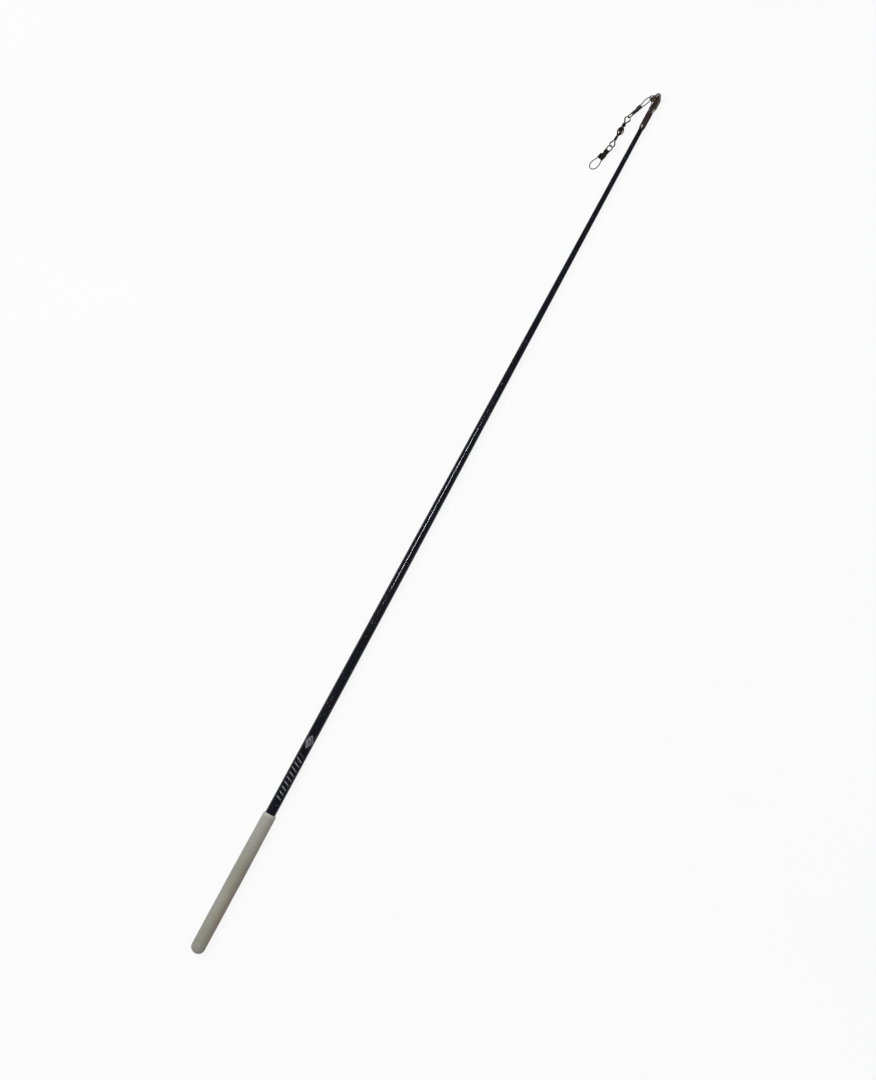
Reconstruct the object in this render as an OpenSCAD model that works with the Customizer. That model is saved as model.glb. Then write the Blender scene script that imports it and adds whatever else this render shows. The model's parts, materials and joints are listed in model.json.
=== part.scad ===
// Ribbon stick for rhythmic gymnastics: tapered rod, rubber grip, tip fitting,
// and a short chain of two snap hooks and a swivel that carries the ribbon.
// Millimetres. The rod lies along X with the butt at -X and the tip at +X.
// The origin is the middle of the grip's straight part, on the rod's axis. +Z is up.

/* [Rod] */
// Overall length, from the butt of the grip to the front of the tip hoop
stick_length = 600; // [500:1:600]
// Rod radius inside the grip
rod_butt_r = 3.35; // [2.8:0.05:4]
// Rod radius where the ferrule starts
rod_tip_r = 1.43; // [1.2:0.01:1.8]
// Radius of the turned-down end that the ferrule and the nose hold
spigot_r = 0.85; // [0.6:0.01:1]

/* [Grip] */
// Length of the rubber grip
grip_length = 97; // [80:1:120]
// Radius of the round butt and of the straight part behind it
grip_r = 4.5; // [4:0.05:5]
// Radius at the top rim
grip_rim_r = 4.25; // [3.8:0.05:4.5]
// Length of the straight part, measured from the round butt
grip_straight = 50; // [40:1:80]
// Rubber left behind the end of the rod
grip_end_wall = 5; // [3:0.5:8]

/* [Tip fitting] */
// Outside radius of the ferrule
ferrule_r = 1.88; // [1.7:0.01:2]
// Distance from the tip to the back of the ferrule
ferrule_back = 24.8; // [20:0.1:30]
// Distance from the tip to the front of the ferrule
ferrule_front = 13; // [10:0.1:15]
// Depth of the crimped flutes along the ferrule
flute_depth = 0.12; // [0.05:0.01:0.2]
// Radius of the nose piece in front of the ferrule
nose_r = 1.33; // [1.1:0.01:1.35]
// Radius of the hoop's two straight legs
hoop_leg_r = 0.33; // [0.3:0.01:0.35]
// Radius of the bent part of the hoop
hoop_wire_r = 0.31; // [0.25:0.01:0.32]
// Outside radius of the sleeve on the right leg, the front and the right side of the hoop
hoop_sleeve_r = 0.6; // [0.45:0.01:0.6]

/* [Snap hooks] */
// Radius of the bent spring wire
snap_wire_r = 0.3; // [0.25:0.01:0.3]
// Radius of the straight wire ends held by the clasp
snap_rod_r = 0.31; // [0.3:0.01:0.33]
// Radial play of the bow's pivot in the clasp
snap_play = 0.04; // [0.01:0.01:0.1]
// Thickness of the folded clasp
clasp_thickness = 1.1; // [0.9:0.01:1.2]
// Yaw of the upper snap, seen from above
upper_yaw = -20.5; // [-40:0.5:0]
// Roll of the upper snap about its own length
upper_roll = -60; // [-90:1:0]
// Yaw of the lower snap, seen from above
lower_yaw = 166; // [150:0.5:180]
// Roll of the lower snap about its own length
lower_roll = 197; // [180:1:220]

/* [Swivel] */
// Yaw of the swivel, seen from above
swivel_yaw = 177.3; // [170:0.1:190]
// Roll of the swivel's upper eye
upper_eye_roll = 165; // [150:1:180]
// Roll of the swivel's lower eye and cage
lower_eye_roll = 150; // [140:1:180]
// Distance between the end bars of the two eyes
swivel_length = 21.38; // [20:0.01:23]
// Radius of the shank that turns in the collar
shank_r = 0.3; // [0.25:0.01:0.35]
// Radial play of the shank in the collar
shank_play = 0.04; // [0.01:0.01:0.1]
// Radius of the head inside the cage
head_r = 0.95; // [0.8:0.01:1.1]
// Half the thickness of the cage's flat bars
bar_r = 0.3; // [0.2:0.01:0.32]
// How many times wider than thick the cage's bars are
bar_wide = 1.9; // [1:0.1:2]
// Distance between wire centres where two eyes are linked
link_gap = 0.72; // [0.68:0.01:0.9]

/* [Hidden] */
round_fn = 64;
wire_sides = 10;
eps = 0.02;
butt_x = -grip_r - grip_straight / 2;
tip_x = stick_length + butt_x;

// rod outline: distance from the butt and radius
rod_taper = [[97.2, rod_butt_r], [187, 3.15], [250, 2.93], [310, 2.72], [372, 2.4],
    [433, 2.09], [494, 1.77], [556, 1.52], [570, rod_tip_r]];
rod_shoulder = 576;
rod_end = 590;
grip_chamfer = 0.6;

// fitting stations, as distances from the tip
flute_back = 21.4;
flute_r = 0.25;
flute_count = 9;
flute_step = 40;
lead_in = 1.3;
leg_back = 21;
leg_offset = 1.33;
pin_centre = 22.8;
pin_half = 0.45;
pin_r = 0.4;
pin_inner = 1.05;
pin_outer = 1.98;
pin_turn = 71;
nose_back = 13;
nose_from = 10.2;
nose_to = 4.75;
// nose outline: distance from the tip and radius
nose_outline = [[nose_back, 0.98], [12.5, 0.98], [11.4, 1.24], [nose_from, nose_r],
    [nose_to, nose_r], [2.6, 1.05], [1.6, 0.62], [1.15, 0.2]];
nose_flute_r = 0.35;
nose_flute_depth = 0.18;
nose_flute_count = 5;
nose_flute_first = 4;
// a lug under the hoop's hook, part of the nose, with a lower lip that reaches further out
lug_outline = [[-6.7, -0.3], [-3.2, -0.3], [-2.5, 0.3], [-2.5, 1.2], [-3.2, 2.1], [-3.9, 2.7],
    [-6.1, 2.7], [-6.7, 2.1]];
lug_low = -1.6;
lug_high = -1;
lip_outline = [[-6.2, 1.9], [-3.5, 1.9], [-3.5, 2.9], [-4, 3.5], [-5.7, 3.5], [-6.2, 2.9]];
lip_low = -2;
lip_high = -1.45;
// centre line of the hoop from its right leg to its left leg; the tip is at 0. In front of
// the nose it rises over the nose's cone.
hoop_points = [[-13.35, -1.33], [-13, -1.33], [-12.4, -1.52, 0.05], [-11.4, -1.75, 0.2],
    [-10.4, -1.93, 0.4], [-8.6, -1.93, 0.47], [-7, -1.93, 0.47], [-5.6, -1.93, 0.5],
    [-4.6, -1.92, 0.62], [-3.8, -1.66, 0.93], [-2.9, -1.25, 1.22], [-2, -0.8, 1.3],
    [-1.3, -0.45, 1.2], [-0.8, -0.05, 1.05], [-0.68, 0.5, 0.9], [-0.95, 1.05, 0.75],
    [-1.55, 1.4, 0.6], [-2.3, 1.75, 0.4], [-3, 2.4, 0.15], [-3.5, 3.35], [-3.65, 3.95],
    [-4.25, 4.35], [-5.15, 4.5], [-5.9, 3.95], [-6.45, 2.9], [-7, 2.15, -0.15],
    [-8, 1.72, -0.45], [-9.2, 1.6, -0.55], [-10.3, 1.6, -0.55], [-11.4, 1.58, -0.35],
    [-12.4, 1.36, -0.05], [-13, 1.33], [-13.35, 1.33]];
hoop_detail = 2;
sleeve_from = 4;
sleeve_to = 19;
hook_point = [-5.9, 3.95, 0];

// snap outlines in the snap's own plane: x along it from eye to bow, y across it
bow_points = [[3.2, -1.45], [3.5, -1.45], [4.5, -1.78], [6, -2.22], [8, -2.36], [9.5, -2.05],
    [10.7, -1.25], [11.35, -0.2], [11.35, 0.85], [10.75, 1.7], [9.7, 2.35], [8.2, 2.6],
    [6.6, 2.48], [4.8, 2], [4, 1.68], [3.6, 1.6], [2.4, 1.6], [1.2, 1.6], [-0.15, 1.6]];
eye_points = [[-3.7, 1.15], [-4, 1.15], [-5.2, 1.44], [-6.4, 1.42], [-7.2, 0.95], [-7.5, 0],
    [-7.2, -0.95], [-6.4, -1.42], [-5.2, -1.44], [-4, -1.15], [-3.7, -1.15]];
clasp_outline = [[-4.1, -1.3], [-3.9, -1.55], [-1.3, -1.68], [-0.9, -1.93], [3.15, -1.96],
    [3.4, -1.75], [3.48, 1.8], [3.3, 2.08], [0.1, 2.1], [0.1, 1.12], [-1.5, 1.12],
    [-1.5, 1.62], [-1.8, 1.8], [-3.85, 1.62], [-4.1, 1.35]];
snap_detail = 2;
pivot_y = -1.45;
pivot_from = -0.6;
pivot_to = 3.5;
leg_y = 1.15;
leg_from = -4;
leg_to = -1.9;
groove_low = 1.15;
groove_high = 1.94;
groove_floor = -0.36;
eye_reach = 7.5;
hook_in_snap = [10.2, -0.6];

// swivel stations along its axis, from the end bar of its upper eye
upper_eye_points = [[4.7, 0.31], [4, 0.55], [3.2, 1], [2.3, 1.5], [1.4, 1.68], [0.6, 1.35],
    [0.12, 0.75], [0, 0], [0.12, -0.75], [0.6, -1.35], [1.4, -1.68], [2.3, -1.5], [3.2, -1],
    [4, -0.55], [4.7, -0.31]];
lower_eye_points = [[-4.1, 0.56], [-3.6, 0.8], [-3, 1.15], [-2.2, 1.62], [-1.4, 1.7],
    [-0.6, 1.35], [-0.12, 0.75], [0, 0], [-0.12, -0.75], [-0.6, -1.35], [-1.4, -1.7],
    [-2.2, -1.62], [-3, -1.15], [-3.6, -0.8], [-4.1, -0.56]];
shoulder_r = 0.62;
shoulder_from = 4.1;
shoulder_to = 6.9;
wrap_at = [5.25, 6.35];
wrap_ring_r = 0.92;
wrap_wire_r = 0.36;
head_from = 8.2;
head_cone = 0.5;
head_to = 10.9;
collar_from = 7.05;
collar_to = 7.8;
collar_r = 0.92;
disc_from = 12.8;
disc_to = 13.4;
disc_r = 0.85;
bar_points = [[7.4, 0.68], [7.9, 0.96], [8.6, 1.45], [9.4, 1.75], [10.2, 1.83], [11.1, 1.64],
    [11.9, 1.22], [12.5, 0.8], [13.1, 0.55]];
bar_count = 5;
bar_turn = 0;
neck_r = 0.5;
neck_from = 13.65;
neck_to = 16.85;
neck_turn = 450;
neck_step = 50;
neck_wrap_at = [14.2, 15.3, 16.4];
neck_wrap_ring_r = 0.66;
neck_wrap_wire_r = 0.3;

// where the links sit, measured from the tip
function along(yaw) = [cos(yaw), sin(yaw), 0];
function across(yaw, roll) =
    [-sin(yaw) * cos(roll), cos(yaw) * cos(roll), sin(roll)];
upper_at = hook_point - hook_in_snap[0] * along(upper_yaw)
    - hook_in_snap[1] * across(upper_yaw, upper_roll);
swivel_at = upper_at - (eye_reach - link_gap) * along(upper_yaw);
lower_link = swivel_at + swivel_length * along(swivel_yaw);
lower_at = lower_link + (eye_reach - link_gap) * along(lower_yaw);

// ---- curves and wires ----

function unit(v) = v / norm(v);
function at3(p) = [p[0], p[1], len(p) > 2 ? p[2] : 0];
function curve_point(a, b, c, d, t) =
    0.5 * (2 * b + (c - a) * t + (2 * a - 5 * b + 4 * c - d) * t * t
        + (3 * b - a - 3 * c + d) * t * t * t);
// a smooth curve through the points, with the given number of steps between two of them
function smooth(p, steps) = let (last = len(p) - 1) [
    for (i = [0 : last - 1], j = [0 : steps - 1])
        at3(curve_point(p[max(i - 1, 0)], p[i], p[i + 1], p[min(i + 2, last)], j / steps)),
    at3(p[last])];
function heading(p, i) = unit(p[min(i + 1, len(p) - 1)] - p[max(i - 1, 0)]);
function ring(p, i, r, side, wide = 1) =
    let (t = heading(p, i), b = unit(side - (side * t) * t), n = cross(b, t))
    [for (k = [0 : wire_sides - 1])
        p[i] + r * (cos(360 * k / wire_sides) * n + wide * sin(360 * k / wire_sides) * b)];
function wrap_faces(from, count, step) = [
    for (i = [0 : count - 2], k = [0 : wire_sides - 1])
        let (a = from + i * step + k, b = from + i * step + (k + 1) % wire_sides)
        [a, b, b + step, a + step]];

// a wire along a path; side is a direction the path never runs along, and wide stretches
// the wire that way
module wire(path, r, side, wide = 1) {
    last = len(path) - 1;
    points = [for (i = [0 : last]) each ring(path, i, r, side, wide)];
    start_cap = [for (k = [wire_sides - 1 : -1 : 0]) k];
    end_cap = [for (k = [0 : wire_sides - 1]) last * wire_sides + k];
    faces = concat([start_cap], wrap_faces(0, last + 1, wire_sides), [end_cap]);
    polyhedron(points = points, faces = [for (f = faces) [for (k = [len(f) - 1 : -1 : 0]) f[k]]]);
}

// a round tube along a path
module tube(path, outer, inner, side) {
    count = len(path);
    ring_points = 2 * wire_sides;
    points = [for (i = [0 : count - 1])
        each concat(ring(path, i, outer, side), ring(path, i, inner, side))];
    outside = wrap_faces(0, count, ring_points);
    inside = [for (f = wrap_faces(wire_sides, count, ring_points))
        [f[3], f[2], f[1], f[0]]];
    ends = [for (e = [0, 1], k = [0 : wire_sides - 1])
        let (base = e * (count - 1) * ring_points, a = base + k,
            b = base + (k + 1) % wire_sides, f = [b, a, a + wire_sides, b + wire_sides])
        e == 0 ? f : [f[3], f[2], f[1], f[0]]];
    faces = concat(outside, inside, ends);
    polyhedron(points = points, faces = [for (f = faces) [f[3], f[2], f[1], f[0]]]);
}

// a straight round bar along X
module bar(from, to, r) {
    translate([from, 0, 0]) rotate([0, 90, 0])
        cylinder(h = to - from, r = r, $fn = round_fn);
}

// a straight cone along X
module cone(from, to, r_from, r_to) {
    translate([from, 0, 0]) rotate([0, 90, 0])
        cylinder(h = to - from, r1 = r_from, r2 = r_to, $fn = round_fn);
}

// ---- rod and grip ----

module shaft() {
    last = len(rod_taper) - 1;
    first_x = rod_taper[0][0];
    outline = concat([[0, grip_end_wall], [rod_butt_r, grip_end_wall]],
        [for (s = rod_taper) [s[1], s[0]]],
        [[rod_taper[last][1], rod_shoulder], [spigot_r, rod_shoulder],
            [spigot_r, rod_end], [0, rod_end]]);
    color([0.05, 0.06, 0.08]) translate([butt_x, 0, 0]) rotate([0, 90, 0]) rotate([0, 0, 180])
        rotate_extrude($fn = round_fn) polygon(outline);
}

module grip() {
    color([0.6, 0.6, 0.56]) translate([butt_x, 0, 0]) difference() {
        union() {
            translate([grip_r, 0, 0]) sphere(r = grip_r, $fn = round_fn);
            bar(grip_r, grip_r + grip_straight, grip_r);
            cone(grip_r + grip_straight, grip_length - grip_chamfer, grip_r, grip_rim_r);
            cone(grip_length - grip_chamfer, grip_length, grip_rim_r,
                grip_rim_r - grip_chamfer / 2);
        }
        bar(grip_end_wall, grip_length + 1, rod_butt_r);
    }
}

// ---- tip fitting ----

module ferrule() {
    color([0.2, 0.17, 0.16]) translate([tip_x, 0, 0]) difference() {
        union() {
            cone(-ferrule_back, lead_in - ferrule_back, rod_tip_r + 0.08, ferrule_r);
            bar(lead_in - ferrule_back, -ferrule_front, ferrule_r);
        }
        bar(-ferrule_back - 1, rod_shoulder - stick_length, rod_tip_r);
        bar(-ferrule_back, -ferrule_front + 1, spigot_r);
        for (side = [-1, 1])
            translate([0, side * leg_offset, 0]) bar(-leg_back, -ferrule_front + 1, hoop_leg_r);
        for (k = [1 : flute_count - 1])
            rotate([k * flute_step, 0, 0])
                translate([0, ferrule_r + flute_r - flute_depth, 0])
                    bar(-flute_back, -ferrule_front + 1, flute_r);
        pin_solid();
    }
}

module pin_solid() {
    rotate([pin_turn, 0, 0]) rotate([-90, 0, 0]) translate([0, 0, pin_inner]) {
        for (x = [-pin_centre - pin_half, -pin_centre + pin_half])
            translate([x, 0, 0]) cylinder(h = pin_outer - pin_inner, r = pin_r, $fn = round_fn);
        translate([-pin_centre - pin_half, -pin_r, 0])
            cube([2 * pin_half, 2 * pin_r, pin_outer - pin_inner]);
    }
}

module ferrule_pin() {
    color([0.8, 0.77, 0.75]) translate([tip_x, 0, 0]) pin_solid();
}

module tip_plug() {
    front = nose_outline[len(nose_outline) - 1][0];
    outline = concat([[0, -nose_back]], [for (s = nose_outline) [s[1], -s[0]]], [[0, -front]]);
    color([0.24, 0.2, 0.16]) translate([tip_x, 0, 0]) difference() {
        rotate([0, 90, 0]) rotate([0, 0, 180])
            rotate_extrude($fn = round_fn) polygon(outline);
        bar(-nose_back - 1, rod_end - stick_length, spigot_r);
        for (k = [0 : nose_flute_count - 1])
            rotate([nose_flute_first + k * 360 / nose_flute_count, 0, 0])
                translate([0, nose_r + nose_flute_r - nose_flute_depth, 0])
                    bar(-nose_from + 0.4, -nose_to - 0.4, nose_flute_r);
    }
    color([0.24, 0.2, 0.16]) translate([tip_x, 0, 0]) {
        translate([0, 0, lug_low])
            linear_extrude(height = lug_high - lug_low) polygon(lug_outline);
        translate([0, 0, lip_low])
            linear_extrude(height = lip_high - lip_low) polygon(lip_outline);
    }
}

module tip_hoop() {
    color([0.25, 0.23, 0.22]) translate([tip_x, 0, 0]) {
        wire(smooth(hoop_points, hoop_detail), hoop_wire_r, [0, 0, 1]);
        for (side = [-1, 1])
            translate([0, side * leg_offset, 0]) bar(-leg_back, -ferrule_front, hoop_leg_r);
    }
}

module hoop_sleeve() {
    path = smooth(hoop_points, hoop_detail);
    part = [for (i = [sleeve_from * hoop_detail : sleeve_to * hoop_detail]) path[i]];
    color([0.3, 0.3, 0.31]) translate([tip_x, 0, 0])
        tube(part, hoop_sleeve_r, hoop_wire_r + eps, [0, 0, 1]);
}

// ---- snap hooks ----

module snap_bow() {
    color([0.2, 0.2, 0.2]) {
        wire(smooth(bow_points, snap_detail), snap_wire_r, [0, 0, 1]);
        translate([0, pivot_y, 0]) bar(pivot_from, pivot_to, snap_rod_r);
    }
}

module snap_eye() {
    color([0.22, 0.21, 0.2]) {
        wire(smooth(eye_points, snap_detail), snap_wire_r, [0, 0, 1]);
        for (side = [-1, 1])
            translate([0, side * leg_y, 0]) bar(leg_from, leg_to, snap_rod_r);
    }
}

module snap_clasp() {
    color([0.16, 0.15, 0.14]) difference() {
        translate([0, 0, -clasp_thickness / 2])
            linear_extrude(height = clasp_thickness) polygon(clasp_outline);
        translate([0, pivot_y, 0])
            bar(pivot_from - snap_play, pivot_to + 1, snap_rod_r + snap_play);
        for (side = [-1, 1])
            translate([0, side * leg_y, 0]) bar(leg_from - 1, leg_to, snap_rod_r);
        translate([-1, groove_low, groove_floor])
            cube([eye_reach, groove_high - groove_low, clasp_thickness]);
    }
}

module at_upper_snap() {
    translate([tip_x, 0, 0]) translate(upper_at)
        rotate([0, 0, upper_yaw]) rotate([upper_roll, 0, 0]) children();
}

module at_lower_snap() {
    translate([tip_x, 0, 0]) translate(lower_at)
        rotate([0, 0, lower_yaw]) rotate([lower_roll, 0, 0]) children();
}

module upper_snap_bow() { at_upper_snap() snap_bow(); }
module upper_snap_clasp() { at_upper_snap() snap_clasp(); }
module upper_snap_eye() { at_upper_snap() snap_eye(); }
module lower_snap_bow() { at_lower_snap() snap_bow(); }
module lower_snap_clasp() { at_lower_snap() snap_clasp(); }
module lower_snap_eye() { at_lower_snap() snap_eye(); }

// ---- swivel ----

module at_swivel(roll) {
    translate([tip_x, 0, 0]) translate(swivel_at)
        rotate([0, 0, swivel_yaw]) rotate([roll, 0, 0]) children();
}

// one turn of wire wound round the axis
module wrap(x, ring_r, wire_r) {
    translate([x, 0, 0]) rotate([0, 90, 0]) rotate_extrude($fn = round_fn)
        translate([ring_r, 0]) circle(r = wire_r, $fn = round_fn);
}

module swivel_upper_eye() {
    color([0.22, 0.21, 0.2]) at_swivel(upper_eye_roll) {
        wire(smooth(upper_eye_points, snap_detail), snap_wire_r, [0, 0, 1]);
        bar(shoulder_from, shoulder_to, shoulder_r);
        for (x = wrap_at) wrap(x, wrap_ring_r, wrap_wire_r);
        bar(shoulder_to - eps, head_from + eps, shank_r);
        cone(head_from, head_from + head_cone, shank_r + 0.1, head_r);
        bar(head_from + head_cone, head_to - head_cone, head_r);
        cone(head_to - head_cone, head_to, head_r, head_r / 2);
    }
}

module swivel_cage() {
    color([0.2, 0.17, 0.15]) at_swivel(lower_eye_roll) {
        difference() {
            bar(collar_from, collar_to, collar_r);
            bar(collar_from - 1, collar_to + 1, shank_r + shank_play);
        }
        bar(disc_from, disc_to, disc_r);
        for (k = [0 : bar_count - 1])
            rotate([bar_turn + k * 360 / bar_count, 0, 0])
                wire(smooth(bar_points, snap_detail), bar_r, [0, 0, 1], bar_wide);
    }
}

module swivel_lower_eye() {
    twist = [for (a = [0 : neck_step : neck_turn])
        [neck_to - (neck_to - neck_from) * a / neck_turn, neck_r * cos(a), neck_r * sin(a)]];
    last = len(twist) - 1;
    start = [[disc_to, twist[last][1], twist[last][2]]];
    one = concat(start, [for (i = [last : -1 : 0]) twist[i]]);
    other = [for (i = [len(one) - 1 : -1 : 0]) [one[i][0], -one[i][1], -one[i][2]]];
    eye = [for (p = lower_eye_points) [swivel_length + p[0], p[1], 0]];
    color([0.22, 0.21, 0.2]) at_swivel(lower_eye_roll) {
        wire(smooth(concat(one, eye, other), snap_detail), snap_wire_r, [0, 0, 1]);
        for (x = neck_wrap_at) wrap(x, neck_wrap_ring_r, neck_wrap_wire_r);
    }
}

shaft();
grip();
ferrule();
ferrule_pin();
tip_plug();
tip_hoop();
hoop_sleeve();
upper_snap_bow();
upper_snap_clasp();
upper_snap_eye();
swivel_upper_eye();
swivel_cage();
swivel_lower_eye();
lower_snap_eye();
lower_snap_clasp();
lower_snap_bow();
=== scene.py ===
# Looks of a ribbon stick for rhythmic gymnastics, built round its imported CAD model.
# Sizes are in millimetres and become metres when a mesh is made. A piece keeps the local
# frame of the part that it belongs to, so its material can be laid out along that part.
import json
import math
import bmesh
import bpy
from mathutils import Matrix, Vector, noise


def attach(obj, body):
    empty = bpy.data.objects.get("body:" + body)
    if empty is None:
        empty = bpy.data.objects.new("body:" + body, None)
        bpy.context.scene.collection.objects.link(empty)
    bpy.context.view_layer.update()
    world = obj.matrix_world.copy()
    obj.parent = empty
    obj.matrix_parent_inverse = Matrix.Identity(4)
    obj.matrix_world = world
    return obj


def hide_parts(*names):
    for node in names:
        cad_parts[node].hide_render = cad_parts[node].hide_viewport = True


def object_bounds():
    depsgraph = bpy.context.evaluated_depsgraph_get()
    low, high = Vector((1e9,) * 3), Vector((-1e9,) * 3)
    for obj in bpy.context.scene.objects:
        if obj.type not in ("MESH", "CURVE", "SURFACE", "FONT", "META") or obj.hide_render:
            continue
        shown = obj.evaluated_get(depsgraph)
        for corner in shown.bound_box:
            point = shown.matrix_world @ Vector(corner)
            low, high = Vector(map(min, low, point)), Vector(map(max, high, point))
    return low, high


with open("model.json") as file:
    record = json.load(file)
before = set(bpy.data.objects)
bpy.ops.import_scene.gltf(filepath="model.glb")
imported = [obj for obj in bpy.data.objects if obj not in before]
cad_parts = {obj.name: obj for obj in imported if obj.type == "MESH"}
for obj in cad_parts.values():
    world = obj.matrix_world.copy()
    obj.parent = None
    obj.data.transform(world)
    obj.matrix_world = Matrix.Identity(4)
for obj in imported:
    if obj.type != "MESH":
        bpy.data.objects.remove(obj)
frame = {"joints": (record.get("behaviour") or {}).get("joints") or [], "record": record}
cad_low, cad_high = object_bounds()
MM = 0.001

# ---- sizes shared with the CAD model ----

BUTT_X = cad_low.x / MM
ROD_TAPER = [(97.2, 3.35), (187, 3.15), (250, 2.93), (310, 2.72), (372, 2.4), (433, 2.09),
             (494, 1.77), (556, 1.52), (576, 1.43)]
ROD_END = 590
SPIGOT_R = 0.85
GRIP_LENGTH = 97
GRIP_R = 4.5
GRIP_RIM_R = 4.25
GRIP_STRAIGHT = 50
GRIP_END_WALL = 5
FERRULE_R = 1.88
FERRULE_BACK = -24.8
FERRULE_FRONT = -13
FERRULE_LEAD_IN = 1.3
FLUTE_STEP = 40
FLUTE_R = 0.25
FLUTE_DEPTH = 0.12
NOSE_R = 1.33
NOSE = [(-13, 0.98), (-12.5, 0.98), (-11.4, 1.24), (-10.2, NOSE_R), (-4.75, NOSE_R),
        (-2.6, 1.05), (-1.6, 0.62), (-1.15, 0.2), (-1.13, 0)]
NOSE_BORE_END = -10
NOSE_FLUTES = 5
NOSE_FLUTE_FIRST = 4
NOSE_FLUTE_R = 0.35
NOSE_FLUTE_DEPTH = 0.18
LEG_R = 0.33
LEG_BACK = -21
HOOP_WIRE_R = 0.31
SLEEVE_R = 0.6
PIN_CENTRE = -22.8
PIN_HALF = 0.45
PIN_R = 0.4
PIN_INNER, PIN_OUTER = 1.05, 1.98
PIN_TURN = 71
CAGE_BAR_R = 0.3
CAGE_BARS = 5
CAGE_BAR_WIDE = 1.9
SNAP_WIRE_R = 0.3
SNAP_ROD_R = 0.31
PIVOT_FROM, PIVOT_Y = -0.6, -1.45
EYE_LEG_TO = -1.9
CLASP_BACK, CLASP_FRONT = -4.1, 3.3
CLASP_TUBE_R = 0.52
SHANK_R = 0.3
SHOULDER_R = 0.62
WRAP_RING_R, WRAP_WIRE_R = 0.92, 0.36
HEAD_FROM, HEAD_TO, HEAD_R = 8.2, 10.9, 0.95
COLLAR_FROM, COLLAR_TO, COLLAR_R = 7.05, 7.8, 0.92
DISC_FROM, DISC_TO, DISC_R = 12.8, 13.4, 0.85
NECK_R, NECK_TURN, NECK_STEP = 0.5, 450, 50
NECK_FROM, NECK_TO = 13.65, 16.85
NECK_RING_R, NECK_WRAP_R = 0.66, 0.3
HOOP = [(-13.35, -1.33), (-13, -1.33), (-12.4, -1.52, 0.05), (-11.4, -1.75, 0.2),
        (-10.4, -1.93, 0.4), (-8.6, -1.93, 0.47), (-7, -1.93, 0.47), (-5.6, -1.93, 0.5),
        (-4.6, -1.92, 0.62), (-3.8, -1.66, 0.93), (-2.9, -1.25, 1.22), (-2, -0.8, 1.3),
        (-1.3, -0.45, 1.2), (-0.8, -0.05, 1.05), (-0.68, 0.5, 0.9), (-0.95, 1.05, 0.75),
        (-1.55, 1.4, 0.6), (-2.3, 1.75, 0.4), (-3, 2.4, 0.15), (-3.5, 3.35), (-3.65, 3.95),
        (-4.25, 4.35), (-5.15, 4.5), (-5.9, 3.95), (-6.45, 2.9), (-7, 2.15, -0.15),
        (-8, 1.72, -0.45), (-9.2, 1.6, -0.55), (-10.3, 1.6, -0.55), (-11.4, 1.58, -0.35),
        (-12.4, 1.36, -0.05), (-13, 1.33), (-13.35, 1.33)]
SLEEVE_FROM, SLEEVE_TO = 4, 19
LUG = [(-6.7, -0.3), (-3.2, -0.3), (-2.5, 0.3), (-2.5, 1.2), (-3.2, 2.1), (-3.9, 2.7),
       (-6.1, 2.7), (-6.7, 2.1)]
LUG_LOW, LUG_HIGH = -1.6, -1
LIP = [(-6.2, 1.9), (-3.5, 1.9), (-3.5, 2.9), (-4, 3.5), (-5.7, 3.5), (-6.2, 2.9)]
LIP_LOW, LIP_HIGH = -2, -1.45
BOW = [(3.2, -1.45), (3.5, -1.45), (4.5, -1.78), (6, -2.22), (8, -2.36), (9.5, -2.05),
       (10.7, -1.25), (11.35, -0.2), (11.35, 0.85), (10.75, 1.7), (9.7, 2.35), (8.2, 2.6),
       (6.6, 2.48), (4.8, 2), (4, 1.68), (3.6, 1.6), (2.4, 1.6), (1.2, 1.6), (-0.15, 1.6)]
EYE = [(-3.7, 1.15), (-4, 1.15), (-5.2, 1.44), (-6.4, 1.42), (-7.2, 0.95), (-7.5, 0),
       (-7.2, -0.95), (-6.4, -1.42), (-5.2, -1.44), (-4, -1.15), (-3.7, -1.15)]
UPPER_EYE = [(4.7, 0.31), (4, 0.55), (3.2, 1), (2.3, 1.5), (1.4, 1.68), (0.6, 1.35),
             (0.12, 0.75), (0, 0), (0.12, -0.75), (0.6, -1.35), (1.4, -1.68), (2.3, -1.5),
             (3.2, -1), (4, -0.55), (4.7, -0.31)]
LOWER_EYE = [(-4.1, 0.56), (-3.6, 0.8), (-3, 1.15), (-2.2, 1.62), (-1.4, 1.7), (-0.6, 1.35),
             (-0.12, 0.75), (0, 0), (-0.12, -0.75), (-0.6, -1.35), (-1.4, -1.7), (-2.2, -1.62),
             (-3, -1.15), (-3.6, -0.8), (-4.1, -0.56)]
CAGE_BAR = [(7.4, 0.68), (7.9, 0.96), (8.6, 1.45), (9.4, 1.75), (10.2, 1.83), (11.1, 1.64),
            (11.9, 1.22), (12.5, 0.8), (13.1, 0.55)]
HOOK_POINT = Vector((-5.9, 3.95, 0))
HOOK_IN_SNAP = Vector((10.2, -0.6, 0))
EYE_REACH = 7.5
LINK_GAP = 0.72
SWIVEL_LENGTH = 21.38
UPPER_YAW, UPPER_ROLL = -20.5, -60
LOWER_YAW, LOWER_ROLL = 166, 197
SWIVEL_YAW, UPPER_EYE_ROLL, LOWER_EYE_ROLL = 177.3, 165, 150

# ---- sizes of what only the looks have ----

CURVE_STEPS = 8
# the eyes' wire is thicker at its sides, and worn where its link rubs
SNAP_EYE_R = 0.38
SWIVEL_EYE_R = 0.42
WORN_R = 0.28
WORN_LENGTH = 0.75
WORN_EASE = 0.6
# slack between a wire and the bore it sits in
BORE_SLACK = 0.02
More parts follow.
